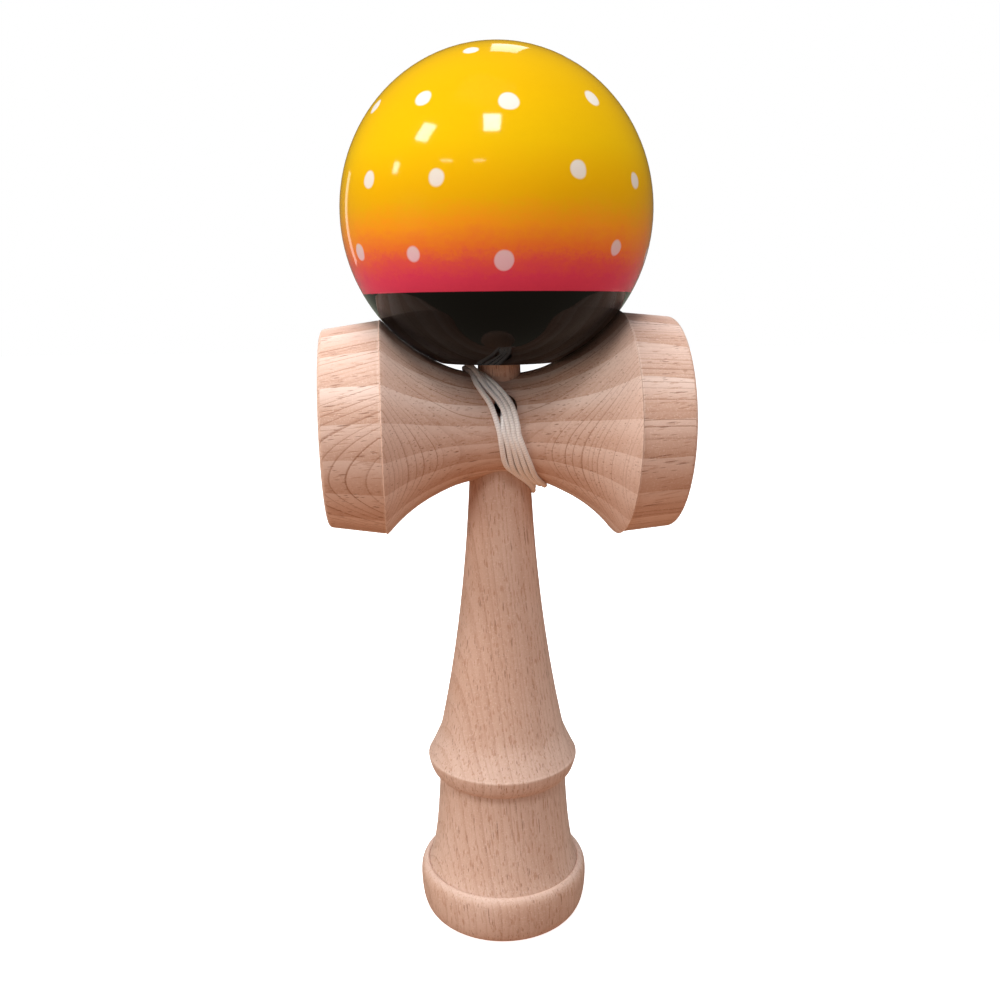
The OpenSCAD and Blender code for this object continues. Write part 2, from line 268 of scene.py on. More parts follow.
# Up the back, over the top and down the front, four times
STRING_TURNS = [
    on_waist(6.3, 250, 0.7), on_waist(3.7, 225), on_waist(1.6, 203), on_waist(-0.7, 180),
    on_waist(-3.0, 157), on_waist(-4.9, 135), on_waist(-6.2, 112), on_waist(-6.95, 92),
    on_waist(-5.9, 75), on_waist(-5.04, 51.7), on_waist(-2.75, 28.4), on_waist(-1.55, 8),
    on_waist(-1.1, -2), on_waist(-0.79, -12.5), on_waist(0.29, -37.3), (2.3, -6.95, 100.7),
    (3.97, -5.65, 99.4), (5.5, -4.15, 98.0), (6.5, -2.2, 96.6), (6.95, 0.3, 95.65),
    (6.6, 3.2, 95.9), (5.4, 5.6, 97.4), on_waist(2.6, 225, 0.6), on_waist(0.6, 203, 1.1),
    on_waist(-1.2, 180, 1.55), on_waist(-2.6, 157, 1.5), on_waist(-3.8, 135, 0.7),
    on_waist(-5.1, 112, 0.9), on_waist(-6.45, 92, 1.4), on_waist(-5.4, 75, 1.4),
    on_waist(-3.7, 52.6, 0.6), on_waist(-0.71, 28.5), on_waist(0.39, 7.8, 0.6),
    on_waist(0.75, -2.3), on_waist(1.36, -12.8), on_waist(2.7, -37.2), on_waist(4.09, -54.3),
    on_waist(5.7, -68), on_waist(7.0, -81), on_waist(7.4, 268),
    on_waist(7.2, 255), on_waist(4.8, 225), on_waist(2.7, 203), on_waist(0.5, 180),
    on_waist(-1.7, 157), on_waist(-2.75, 135), on_waist(-4.2, 112), on_waist(-5.95, 92),
    on_waist(-4.9, 75), on_waist(-2.51, 53), on_waist(0.26, 28.4), on_waist(1.36, 7.7),
    on_waist(1.63, -2.4), on_waist(2.33, -12.8), on_waist(3.89, -36.7), on_waist(5.16, -53),
    on_waist(6.9, -68), on_waist(8.0, -80), on_waist(8.4, 268),
    on_waist(8.1, 255), on_waist(5.9, 225), on_waist(3.75, 203), on_waist(1.6, 180),
    on_waist(-0.6, 157), on_waist(-1.7, 135), on_waist(-3.2, 112), on_waist(-4.95, 92),
    on_waist(-3.95, 75), on_waist(-1.42, 53.4), on_waist(1.33, 28.2), on_waist(2.32, 7.6),
    on_waist(2.59, -2.4), on_waist(3.3, -12.7), on_waist(5.07, -36), on_waist(6.22, -51.4),
    on_waist(7.8, -66), on_waist(8.9, -79), on_waist(9.35, 268),
    on_waist(9.1, 255), on_waist(7.0, 225), on_waist(4.95, 203, 0.6), on_waist(3.4, 186, 1.1),
    (2.2, 13.6, 111.6),
]
# Straight to the ball, up its back and down its string hole
LEAD_ROUTE = [
    (1, 15, 115), (0.6, 18.7, 121.3), (0.2, 22.5, 127.5), (-0.2, 26.2, 133.8), (-0.2, 29.3, 140.4),
    (-0.2, 30.7, 147.3), (-0.2, 30.6, 153.7), (-0.2, 29, 160.5), (-0.2, 25.6, 167), (-0.2, 20.8, 172.6),
    (-0.2, 14.8, 176.9), (-0.2, 8.2, 179.6), (-0.2, 4.2, 180.5), (-0.2, 2.2, 180.6), (-0.2, 0.7, 180),
    (-0.2, 0, 178.5), (-0.2, 0, 174), (-0.2, 0, 169), (-0.2, 0, 165), (-0.2, 0, 160.1),
]
PATH_STEP = 0.16
STEPS_BETWEEN = 40
STRING_SIDES = 24
PLAITS_ROUND = 6
PLAIT_L = 0.48
PLAIT_H = 0.03
PLAIT_RISE = 0.6
# A direction that the string's start does not take, to lay its first ring out from
ANY_WAY = (0.36, 0.48, 0.8)
KNOT_STEPS = 120
TREFOIL_R = 3


def run_along(points):
    """Length from the first point to each point."""
    return np.concatenate([[0], np.cumsum(np.linalg.norm(np.diff(points, axis=0), axis=1))])


def smooth_path(points, step):
    """Points about one step apart on a smooth curve through the given ones."""
    p = np.array(points, float)
    p = np.vstack([2 * p[0] - p[1], p, 2 * p[-1] - p[-2]])
    knots = np.concatenate([[0], np.cumsum(np.sqrt(np.linalg.norm(np.diff(p, axis=0), axis=1)))])
    dense = []
    for i in range(1, len(p) - 2):
        t = np.linspace(knots[i], knots[i + 1], STEPS_BETWEEN, endpoint=False)[:, None]
        t0, t1, t2, t3 = knots[i - 1 : i + 3]
        a1 = (t1 - t) / (t1 - t0) * p[i - 1] + (t - t0) / (t1 - t0) * p[i]
        a2 = (t2 - t) / (t2 - t1) * p[i] + (t - t1) / (t2 - t1) * p[i + 1]
        a3 = (t3 - t) / (t3 - t2) * p[i + 1] + (t - t2) / (t3 - t2) * p[i + 2]
        b1 = (t2 - t) / (t2 - t0) * a1 + (t - t0) / (t2 - t0) * a2
        b2 = (t3 - t) / (t3 - t1) * a2 + (t - t1) / (t3 - t1) * a3
        dense.append((t2 - t) / (t2 - t1) * b1 + (t - t1) / (t2 - t1) * b2)
    dense = np.vstack([*dense, p[-2]])
    run = run_along(dense)
    marks = np.linspace(0, run[-1], max(2, round(run[-1] / step)))
    return np.stack([np.interp(marks, run, dense[:, axis]) for axis in range(3)], axis=1)


def new_piece(name, points, faces):
    """A mesh piece from points in millimetres."""
    mesh = bpy.data.meshes.new(name)
    mesh.from_pydata((points * MM).tolist(), [], faces)
    piece = bpy.data.objects.new(name, mesh)
    bpy.context.scene.collection.objects.link(piece)
    return piece


def braided_cord(name, path, sides=STRING_SIDES):
    """A closed tube along the path, with the small plaits of a braid standing out of it."""
    tangents = np.gradient(path, axis=0)
    tangents /= np.linalg.norm(tangents, axis=1)[:, None]
    across = np.cross(tangents[0], ANY_WAY)
    angle = np.arange(sides) * 2 * math.pi / sides
    points, tones = [], []
    for place, tangent, along in zip(path, tangents, run_along(path)):
        across = across - tangent * (across @ tangent)
        across /= np.linalg.norm(across)
        over = np.cross(tangent, across)
        beat = 2 * math.pi * along / PLAIT_L
        plait = np.cos(PLAITS_ROUND * angle + beat / 2) * np.cos(PLAITS_ROUND * angle - beat / 2)
        radius = STRING_D / 2 + PLAIT_H * (plait + PLAIT_RISE)
        ring = np.outer(np.cos(angle), across) + np.outer(np.sin(angle), over)
        points.append(place + ring * radius[:, None])
        tones.append(plait / 2 + 0.5)
    last = (len(path) - 1) * sides
    faces = []
    for i in range(0, last, sides):
        for k in range(sides):
            n = (k + 1) % sides
            faces.append((i + k, i + n, i + sides + n, i + sides + k))
    faces.append(tuple(reversed(range(sides))))
    faces.append(tuple(range(last, last + sides)))
    piece = new_piece(name, np.vstack(points), faces)
    tone = piece.data.attributes.new("plait", "FLOAT", "POINT")
    tone.data.foreach_set("value", np.concatenate(tones).astype(np.float32))
    piece.data.shade_smooth()
    return piece


# The cord's darker colour is painted shade for the crevices between its plaits
CORD_WHITE, CORD_PAINTED_SHADE = (0.92, 0.91, 0.90), (0.64, 0.62, 0.60)
CORD_SOIL, CORD_FUZZ = (0.72, 0.62, 0.50), (0.95, 0.94, 0.91)
SOIL_SHARE, FUZZ_SHARE = 0.12, 0.16


def string_finish():
    """Off-white braided cord, with painted shade between its plaits, and a little soiled."""
    finish = Finish("braided_string", Roughness=0.72, Sheen_Weight=0.25, Sheen_Roughness=0.4)
    soil_scale, fuzz_scale = 0.35, 9
    point = finish.point()
    plait = finish.node("Attribute", {"attribute_name": "plait"}, out="Fac")
    soil = finish.step(finish.noise(point, soil_scale, 3), 0.35, 0.7)
    fuzz = finish.noise(point, fuzz_scale)
    # Painted shade: the cord is painted darker where it dips between its plaits
    plait_shaded = finish.mix(finish.step(plait, 0.05, 0.75), CORD_PAINTED_SHADE, CORD_WHITE)
    colour = finish.mix(soil * SOIL_SHARE, plait_shaded, CORD_SOIL)
    finish.set("Base Color", finish.mix(fuzz * FUZZ_SHARE, colour, CORD_FUZZ))
    finish.bump(fuzz, strength=0.25, distance=0.00005)
    return finish.material


def overhand_knot(name, start, axis):
    """A tight overhand knot from a point along an axis."""
    t = np.linspace(0, 2 * math.pi, KNOT_STEPS)
    wide, tall = (KNOT_D - STRING_D) / 2 / TREFOIL_R, (KNOT_L - STRING_D) / 2
    loop = np.stack([
        (np.sin(t) + 2 * np.sin(2 * t)) * wide,
        (np.cos(t) - 2 * np.cos(2 * t)) * wide,
        -np.sin(3 * t) * tall,
    ], axis=1)
    turn = np.array(Vector((0, 0, 1)).rotation_difference(Vector(axis)).to_matrix())
    centre = np.array(start) + np.array(axis) * KNOT_L / 2
    return braided_cord(name, loop @ turn.T + centre)


def make_string():
    path = smooth_path(STRING_TAIL + STRING_TURNS + LEAD_ROUTE, PATH_STEP)
    string = braided_cord("string", path)
    ball_knot = overhand_knot("ball_knot", BALL_KNOT, (0, 0, 1))
    handle_knot = overhand_knot("handle_knot", KEN_KNOT, (0, 1, 0))
    cotton = string_finish()
    for piece in (string, ball_knot, handle_knot):
        piece.data.materials.append(cotton)
    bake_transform(string)
    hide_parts("string_winding", "string_lead")
    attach(ball_knot, "string_end")
    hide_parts("tama_knot")
    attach(handle_knot, "handle")
    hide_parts("ken_knot")


make_string()


# Beech, from pale early wood to the darkest fleck

PALE, TAN, BROWN = (0.64, 0.455, 0.37), (0.55, 0.35, 0.262), (0.40, 0.205, 0.125)
UMBER, DARK = (0.30, 0.145, 0.085), (0.24, 0.112, 0.066)
# The end grain's pale colour is partly painted light
END_GRAIN_AND_LIGHT_PALE, GRIT_PALE = (0.71, 0.55, 0.475), (0.80, 0.64, 0.55)
# The ridges' pale colour is a painted highlight, with a little wear
BAND_PALE, RIDGE_HIGHLIGHT_AND_WEAR = (0.73, 0.575, 0.50), (0.86, 0.72, 0.62)
# Growth rings in a millimetre, by the way that the fibres run
RING_RATE = {"Z": 0.75, "X": 1.25}
# Where the pale end grain starts, where it is full and how much it shows, by the way that the fibres run;
# the paleness is partly painted light
END_GRAIN = {"Z": (0.22, 0.90, 0.30), "X": (0.45, 0.97, 0.45)}
WANDER = 3
# Ray flecks of two sizes: width, length and shift of their cells
FLECKS = ((0.40, 6.5, 0.0), (0.62, 10.0, 7.7))
# How much each part of the figure shows, and how high it stands
FIBRE_SHARE, LATE_SHARE, FLECK_SHARE, GRIT_SHARE = 0.35, 0.22, 0.68, 0.45
FIBRE_H, GRIT_H, FLECK_H, DASH_H, LINE_H = 0.35, 0.4, 0.9, 0.5, 0.3
SMOOTH, GRIT_ROUGH, END_ROUGH = 0.50, 0.14, 0.12
# Broad bands round the crosspiece: degrees in one, and where the first starts, in bands
BAND_ANGLE = 19.4
BAND_START = 20.29


def growth_rings(finish, grain, seed, layer):
    """Shares of late wood, and of the thin dark line at the end of each ring."""
    sway_scale, sway = 0.35, 3.2
    late_start, line_start, line_full, line_end = 0.35, 0.82, 0.93, 0.97
    swayed = layer * RING_RATE[grain] + finish.noise(finish.join(layer * sway_scale, seed, 0)) * sway
    ring = finish.math("FRACT", swayed)
    force = finish.chance(finish.math("FLOOR", swayed) + seed)
    ring_end = finish.step(ring, 1.0, line_end)
    late = finish.step(ring, late_start, line_end) * ring_end
    line = finish.step(ring, line_start, line_full) * ring_end * finish.step(force, 0.15, 0.9)
    return late, line


def ray_flecks(finish, seed, side, depth, along):
    """Short dark dashes along the fibres, one in each lucky cell of a long grid."""
    depth_share, least_reach, more_reach, core = 1.3, 0.03, 0.26, 0.45
    flecks = []
    for wide, tall, shift in FLECKS:
        grid = finish.join(side / wide + shift, depth / (wide * depth_share), along / tall + seed)
        sockets = {"Vector": grid, "Scale": 1.0}
        away, cell = finish.node("TexVoronoi", None, sockets, out=("Distance", "Color"))
        luck, *_ = finish.parts(cell)
        reach = luck * more_reach + least_reach
        flecks.append(finish.step(away, reach, reach * core) * finish.step(luck, 0.25, 0.6))
    return finish.most(*flecks)


def broad_bands(finish, colour, seed, x, y, z, facing):
    """Bands along the crosspiece's outside, each pale at its upper edge, with a painted highlight and a
    little wear along the ridges.
    """
    pale_share, brown_share, ridge_highlight_and_wear_share = 0.95, 0.38, 0.28
    along_scale, angle_scale, swing = 0.05, 0.4, 0.35
    outside = finish.step(facing * finish.math("SIGN", x), 0.5, 0.2)
    angle = finish.math("ARCTAN2", z - CROSS_Z, -y) / math.radians(BAND_ANGLE)
    swung = finish.noise(finish.join(x * along_scale, seed, angle * angle_scale), detail=1) * swing
    band = -angle + swung + BAND_START
    share = finish.math("FRACT", band)
    strength = (finish.chance(finish.math("FLOOR", band)) * 0.5 + 0.5) * outside
    colour = finish.mix(finish.step(share, 0.70, 0.0) * strength * pale_share, colour, BAND_PALE)
    colour = finish.mix(finish.step(share, 0.40, 1.0) * strength * brown_share, colour, BROWN)
    small_ridge = abs(x + SMALL_EDGE[0] - EDGE_LAND / 2)
    big_ridge = abs(x - BIG_EDGE[0] + EDGE_LAND / 2)
    # Painted highlight, with a little wear: a pale line along each cup's ridge
    ridge_highlight_and_wear = finish.step(finish.math("MINIMUM", small_ridge, big_ridge), 0.45, 0.15)
    return finish.mix(ridge_highlight_and_wear * outside * ridge_highlight_and_wear_share, colour, RIDGE_HIGHLIGHT_AND_WEAR)


def beech(name, grain, seed, ring_aim, ring_share, dash_l, dash_share, bands=False, lean=0.0):
    """Sanded beech whose fibres run along Z or X, with ray flecks, growth rings and pale end grain that is
    partly painted light.
    """
    finish = Finish(name, Specular_IOR_Level=0.32)
    wander_side_scale, wander_along_scale = 0.03, 0.012
    dash_scale, fibre_scale, fibre_along_scale, grit_scale = 2.3, 3.2, 0.22, 2.6
    cloud_scale, cloud_along_scale = 0.05, 0.03
    point = finish.point()
    x, y, z = finish.parts(point)
    if grain == "Z":
        along, side, depth = z, x, y
    else:
        along, side, depth = x, z - CROSS_Z, y

    def grown(scale, along_scale):
        """A place in the wood as far as it has wandered, drawn out along the fibres."""
        return finish.join(side * scale, depth * scale, along * along_scale + seed)

    wander_side, wander_depth, _ = finish.parts(finish.drift(grown(wander_side_scale, wander_along_scale)))
    side = side + wander_side * WANDER + along * lean
    depth = depth + wander_depth * WANDER

    layer = depth * ring_aim[0] + side * ring_aim[1] + along * ring_aim[2]
    late, line = growth_rings(finish, grain, seed, layer)
    flecks = ray_flecks(finish, seed, side, depth, along)
    dash_place = finish.join(side * dash_scale + seed, depth * dash_scale, along / dash_l)
    dashes = finish.step(finish.noise(dash_place, detail=1), 0.58, 0.70)
    fibre = finish.noise(grown(fibre_scale, fibre_along_scale), detail=3, roughness=0.6)
    grit = finish.noise(point, grit_scale, 3, 0.75)
    cloud = finish.noise(grown(cloud_scale, cloud_along_scale), detail=3)

    # End grain, where the surface faces along the fibres, painted pale: partly the end grain's own tone
    # and partly painted light on those faces
    facing = finish.parts(finish.node("TexCoord", out="Normal"))["XYZ".index(grain)]
    end_start, end_full, end_share = END_GRAIN[grain]
    end_grain_and_light = finish.step(abs(facing), end_start, end_full)

    colour = finish.mix(finish.step(cloud, 0.32, 0.70), PALE, TAN)
    colour = finish.mix(finish.step(fibre, 0.35, 0.75) * FIBRE_SHARE, colour, TAN)
    colour = finish.mix(late * LATE_SHARE, colour, BROWN)
    if bands:
        colour = broad_bands(finish, colour, seed, x, y, z, facing)
    colour = finish.mix(line * ring_share, colour, UMBER)
    colour = finish.mix(dashes * dash_share, colour, BROWN)
    colour = finish.mix(flecks * FLECK_SHARE, colour, DARK)
    # Partly painted light: faces along the fibres are painted paler
    colour = finish.mix(end_grain_and_light * end_share, colour, END_GRAIN_AND_LIGHT_PALE)
    colour = finish.mix(finish.step(grit, 0.50, 0.75) * GRIT_SHARE, colour, GRIT_PALE)
    finish.set("Base Color", colour)
    finish.set("Roughness", SMOOTH + grit * GRIT_ROUGH + end_grain_and_light * END_ROUGH)
    relief = fibre * FIBRE_H + grit * GRIT_H - flecks * FLECK_H - dashes * DASH_H - line * LINE_H
    finish.bump(relief, strength=0.4, distance=0.00012)
    return finish.material


nodes["bead"].data.materials[0] = beech(
    "bead_beech", "Z", seed=5.7, ring_aim=(0.8, 0.6, 0.0), ring_share=0.5, dash_l=2.4, dash_share=0.4)


# Handle: turned from its outline, with the slip ring's crisp edge and the base ring's bead and crease

GRIP_TOP = (6.35, 98.9)
SHOULDER_Z = 104.4
TENON_R = 4.65
SPIKE_FOOT = (4.35, 119.7)
SPIKE_TIP_R = 1.8
TIP_Z = 155.7
BASE_CUP = (14.3, 7.0)
CHANNEL_D = 3.0
POCKET_D = 4.2
POCKET_Y = 0.3
DRILL_OVERLAP = 0.2
DRILL_REACH = 6
DRILL_SIDES = 64
SHARP_ANGLE = 28
CURVE_STEPS = 14
BASE_BOWL_STEPS = 24
HANDLE_SIDES = 180

# Each curve leaves its first point towards the second and comes to the third: radius, height
HANDLE_CURVES = [
    ((BASE_CUP[0], 0.0), (15.4, 0.0), (16.55, 0.0)),
    ((16.55, 0.0), (18.65, 0.4), (18.8, 7.2)),
    ((18.8, 7.2), (18.82, 9.1), (18.5, 9.9)),
    ((18.5, 9.9), (18.1, 10.9), (17.4, 11.0)),
    ((17.4, 11.0), (17.1, 11.05), (16.9, 10.7)),
    ((16.9, 10.7), (14.75, 15.4), (13.95, 32.7)),
    ((13.95, 32.7), (14.2, 32.9), (14.6, 33.0)),
    ((14.6, 33.0), (15.9, 33.9), (16.4, 36.9)),
    ((16.4, 36.9), (16.44, 37.25), (16.25, 37.45)),
    ((16.25, 37.45), (15.2, 39.5), (14.25, 41.6)),
    ((14.25, 41.6), (13.55, 43.1), (13.25, 44.4)),
    ((13.25, 44.4), (7.83, 69.6), GRIP_TOP),
    (GRIP_TOP, (GRIP_TOP[0], 101.5), (GRIP_TOP[0], SHOULDER_Z)),
    ((GRIP_TOP[0], SHOULDER_Z), (5.5, SHOULDER_Z), (TENON_R, SHOULDER_Z)),
    ((TENON_R, SHOULDER_Z), (TENON_R, 112.0), (TENON_R, 118.7)),
    ((TENON_R, 118.7), (4.5, 119.2), SPIKE_FOOT),
    (SPIKE_FOOT, (3.84, 136.8), (SPIKE_TIP_R, TIP_Z - SPIKE_TIP_R)),
    ((SPIKE_TIP_R, TIP_Z - SPIKE_TIP_R), (SPIKE_TIP_R * 0.85, TIP_Z), (0.0, TIP_Z)),
]


def bowl(rim, depth, steps):
    """A cup's round bowl from its middle to its rim: radius, rise from its bottom."""
    round_r = (rim * rim + depth * depth) / (2 * depth)
    return [(r, round_r - math.sqrt(round_r * round_r - r * r)) for r in np.linspace(0, rim, steps)]


def handle_outline():
    """The handle's outline from the middle of its base cup to the spike's tip: radius, height."""
    rim, depth = BASE_CUP
    points = [(r, depth - rise) for r, rise in bowl(rim, depth, BASE_BOWL_STEPS)]
    for curve in HANDLE_CURVES:
        for t in np.linspace(0, 1, CURVE_STEPS + 1)[1:]:
            shares = ((1 - t) ** 2, 2 * t * (1 - t), t * t)
            points.append(tuple(np.array(shares) @ np.array(curve)))
    return points


def turned(name, outline, sides, lying=False):
    """A closed turning about the upright axis, or lying along the crosspiece."""
    angle = np.arange(sides) * 2 * math.pi / sides
    rings = [(r * np.cos(angle), r * np.sin(angle), np.full(sides, h)) for r, h in outline[1:-1]]
    points = np.concatenate([np.stack(ring, axis=1) for ring in rings])
    points = np.vstack([points, (0, 0, outline[0][1]), (0, 0, outline[-1][1])])
    if lying:
        points = points[:, [2, 0, 1]] + (0, 0, CROSS_Z)
    high = len(points) - 1
    low, last = high - 1, (len(rings) - 1) * sides
    faces = []
    for k in range(sides):
        n = (k + 1) % sides
        faces.append((low, n, k))
        faces.append((high, last + k, last + n))
        for i in range(0, last, sides):
            faces.append((i + k, i + n, i + sides + n, i + sides + k))
    return new_piece(name, points, faces)


def bore(piece, diameter, start, end):
    """Bores a round hole from one point to another."""
    line = (Vector(end) - Vector(start)) * MM
    bpy.ops.mesh.primitive_cylinder_add(
        vertices=DRILL_SIDES,
        radius=diameter / 2 * MM,
        depth=line.length,
        location=Vector(start) * MM + line / 2,
        rotation=line.to_track_quat("Z", "Y").to_euler(),
    )
    drill = bpy.context.object
    cut = piece.modifiers.new("bore", "BOOLEAN")
    cut.object = drill
    cut.solver = "EXACT"
    seen = piece.evaluated_get(bpy.context.evaluated_depsgraph_get())
    old = piece.data
    mesh = bpy.data.meshes.new_from_object(seen)
    piece.modifiers.clear()
    piece.data = mesh
    mesh.name = piece.name
    bpy.data.meshes.remove(old)
    bpy.data.objects.remove(drill)


def finish_turning(piece, wood, node):
    """Smooths a turning, gives it its wood and lets it stand for its node on the handle."""
    piece.data.shade_smooth()
    piece.data.set_sharp_from_angle(angle=math.radians(SHARP_ANGLE))
    piece.data.materials.clear()
    piece.data.materials.append(wood)
    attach(piece, "handle")
    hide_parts(node)


def make_handle():
    handle = turned("turned_handle", handle_outline(), HANDLE_SIDES)
    hole_z = KEN_KNOT[2]
    bore(handle, CHANNEL_D, (0, -DRILL_REACH, hole_z), (0, POCKET_Y + DRILL_OVERLAP, hole_z))
    bore(handle, POCKET_D, (0, POCKET_Y, hole_z), (0, DRILL_REACH, hole_z))
    wood = beech(
        "handle_beech", "Z", seed=3.1, ring_aim=(0.30, 0.95, 0.010), ring_share=0.22, dash_l=2.6,
        dash_share=0.62, lean=0.05)
    finish_turning(handle, wood, "ken")


make_handle()


# Crosspiece: both cups turned from one outline, its flares brought up to the ball

CROSS_END = 35.0
RIM_W = 2.2
RIM_ROUND = 0.9
SMALL_CUP = (19.7, 9.0)
BIG_CUP = (21.5, 10.0)
SMALL_EDGE_CROWN = 0.2
# Points over a cup's worn edge, from the edge itself: radius, place along the crosspiece
WORN_EDGE = ((-0.03, 0.35), (0.0, 0.0), (-0.02, -0.15))
# Where a flare starts to rise to the ball and has reached it, and how it leaves it before its edge
BALL_ROOM = 0.02
FLARE_FIT = (9.0, 13.0)
FLARE_EASE = 0.6
FLARE_EDGE_SHARE = 0.6
FRONT_HOLE_D = 4.6
FRONT_HOLE = (0.2, 114.1)
BORE_ROOM = 0.1
CUP_STEPS = 28
RIM_STEPS = 9
FLARE_STEPS = 110
CROSS_SIDES = 200


def flare_at(x):
    """Radius of a flare: the waist's arc, brought up to the ball where the ball lies on it."""
    arc = waist_at(x)
    edge = (SMALL_EDGE if x < 0 else BIG_EDGE)[0] - EDGE_LAND
    under_ball = BALL_Z - math.sqrt(BALL_R ** 2 - (x - BALL_X) ** 2) - CROSS_Z - BALL_ROOM
    fitted = np.interp(abs(x), [*FLARE_FIT, edge - FLARE_EASE, edge], [0, 1, 1, FLARE_EDGE_SHARE])
    return arc + fitted * max(0, under_ball - arc)


def cup_outline(edge, cup, side):
    """One cup from the middle of its bowl to its worn edge: radius, place along the crosspiece."""
    (edge_x, edge_r), (rim_r, depth) = edge, cup
    points = [(r, CROSS_END - depth + rise) for r, rise in bowl(rim_r - RIM_W, depth, CUP_STEPS)]
    for turn in np.linspace(0, math.pi / 2, RIM_STEPS):
        points.append((
            rim_r - RIM_ROUND * (1 - math.sin(turn)),
            CROSS_END - RIM_ROUND * (1 - math.cos(turn)),
        ))
    points += [(edge_r + rise, edge_x + along) for rise, along in WORN_EDGE]
    return [(r, side * x) for r, x in points]


def make_crosspiece():
    low, high = EDGE_LAND - SMALL_EDGE[0], BIG_EDGE[0] - EDGE_LAND
    outline = cup_outline((SMALL_EDGE[0], SMALL_EDGE[1] + SMALL_EDGE_CROWN), SMALL_CUP, -1)
    outline += [(flare_at(x), x) for x in np.linspace(low, high, FLARE_STEPS)]
    outline += reversed(cup_outline(BIG_EDGE, BIG_CUP, 1))
    crosspiece = turned("turned_crosspiece", outline, CROSS_SIDES, lying=True)
    below, above = CROSS_Z - 2 * WAIST_R, CROSS_Z + 2 * WAIST_R
    bore(crosspiece, 2 * TENON_R + BORE_ROOM, (0, 0, below), (0, 0, above))
    bore(crosspiece, 2 * GRIP_TOP[0] + BORE_ROOM, (0, 0, below), (0, 0, SHOULDER_Z))
    hole_x, hole_z = FRONT_HOLE
    bore(crosspiece, FRONT_HOLE_D, (hole_x, -2 * WAIST_R, hole_z), (hole_x, 0, hole_z))
    wood = beech(
        "crosspiece_beech", "X", seed=8.4, ring_aim=(-0.94, -0.34, 0.045), ring_share=0.72, dash_l=4.2,
        dash_share=0.40, bands=True, lean=-0.10)
    finish_turning(crosspiece, wood, "sarado")


make_crosspiece()


# Ball

# Latitude and longitude of each white dot, in degrees, the front ones first
BALL_DOTS = [
    (57.8, -20.8), (33.6, -34.8), (30.6, -1.1), (34.7, 35.6), (35.2, -64.9), (6.4, -25.2),
    (9.1, 21.4), (7.6, 48.5), (7.9, -53.1), (-14.1, -63.4), (-16.1, -35.5), (-18.6, -3.6),
    (-14.1, 39.5), (58.5, 52.0), (56.5, 124.0), (59.0, -164.0), (57.0, -92.0), (33.0, 72.0),
    (34.5, 107.0), (32.0, 143.0), (34.8, 178.0), (33.2, -145.0), (35.0, -105.0), (7.0, 82.0),
    (8.6, 112.0), (6.2, 146.0), (8.0, 174.0), (7.4, -151.0), (6.6, -120.0), (8.8, -87.0),
    (-15.0, 70.0), (-16.8, 101.0), (-14.6, 135.0), (-17.0, 165.0), (-15.4, -160.0), (-14.4, -128.0),
    (-16.4, -96.0),
]

BIG_DOTS = (2, 11)
BIG_DOT_R = 1.68
SMALL_DOT_R = 1.42
DOT_SPREAD = 0.12
DOT_EDGE = 0.00035
DOT_SHARE = 0.94
DOT_DRIFT = 0.7
DOT_WHITE, DOT_PINK = (0.70, 0.67, 0.62), (0.80, 0.57, 0.67)
# The lacquer between two heights, as shares of the ball's radius: place in the gradient, colour
GRADIENT_LOW, GRADIENT_HIGH = -0.50, 0.95
GRADIENT = [
    (0.000, (0.66, 0.045, 0.115)),
    (0.062, (0.73, 0.053, 0.120)),
    (0.117, (0.78, 0.095, 0.075)),
    (0.169, (0.85, 0.190, 0.028)),
    (0.255, (0.87, 0.315, 0.009)),
    (0.352, (0.75, 0.395, 0.002)),
    (0.559, (0.69, 0.420, 0.002)),
    (0.759, (0.62, 0.357, 0.002)),
    (0.966, (0.57, 0.325, 0.003)),
]
# Heights from the ball's middle where the black cap and the bare bore start and are full
CAP_START, CAP_FULL = -14.42, -14.58
BORE_START, BORE_FULL = 17.2, 17.0
# Bare wood round the holes, beyond their radius
BARE_START, BARE_FULL, STRING_HOLE_EDGE = 0.08, 0.02, 0.1
# How far the paint's unevenness moves the gradient and the cap's edge
SPRAY, MOTTLE, SPECK, CAP_SPRAY = 0.09, 0.09, 0.05, 0.10
CAP_BLACK = (0.0035, 0.003, 0.0026)
BARE_PALE, BARE_DARK = (0.62, 0.40, 0.26), (0.42, 0.23, 0.13)


def white_dots(finish, spot):
    """Share of white paint: the dots, with slightly ragged outlines."""
    drift_scale, spread_step = 0.24, 2.4
    drift = finish.vector("SCALE", finish.drift(spot, drift_scale, 1), scale=DOT_DRIFT)
    aim = finish.vector("NORMALIZE", finish.vector("ADD", spot, drift))
    nearest = None
    for i, (latitude, longitude) in enumerate(BALL_DOTS):
        lat, lon = math.radians(latitude), math.radians(longitude)
        centre = (math.cos(lat) * math.sin(lon), -math.cos(lat) * math.cos(lon), math.sin(lat))
        dot_r = BIG_DOT_R if i in BIG_DOTS else SMALL_DOT_R + DOT_SPREAD * math.sin(i * spread_step)
        inside = finish.vector("DOT_PRODUCT", aim, centre, out="Value") - math.cos(dot_r / BALL_R)
        nearest = inside if nearest is None else finish.most(nearest, inside)
    return finish.step(nearest, -DOT_EDGE, DOT_EDGE)


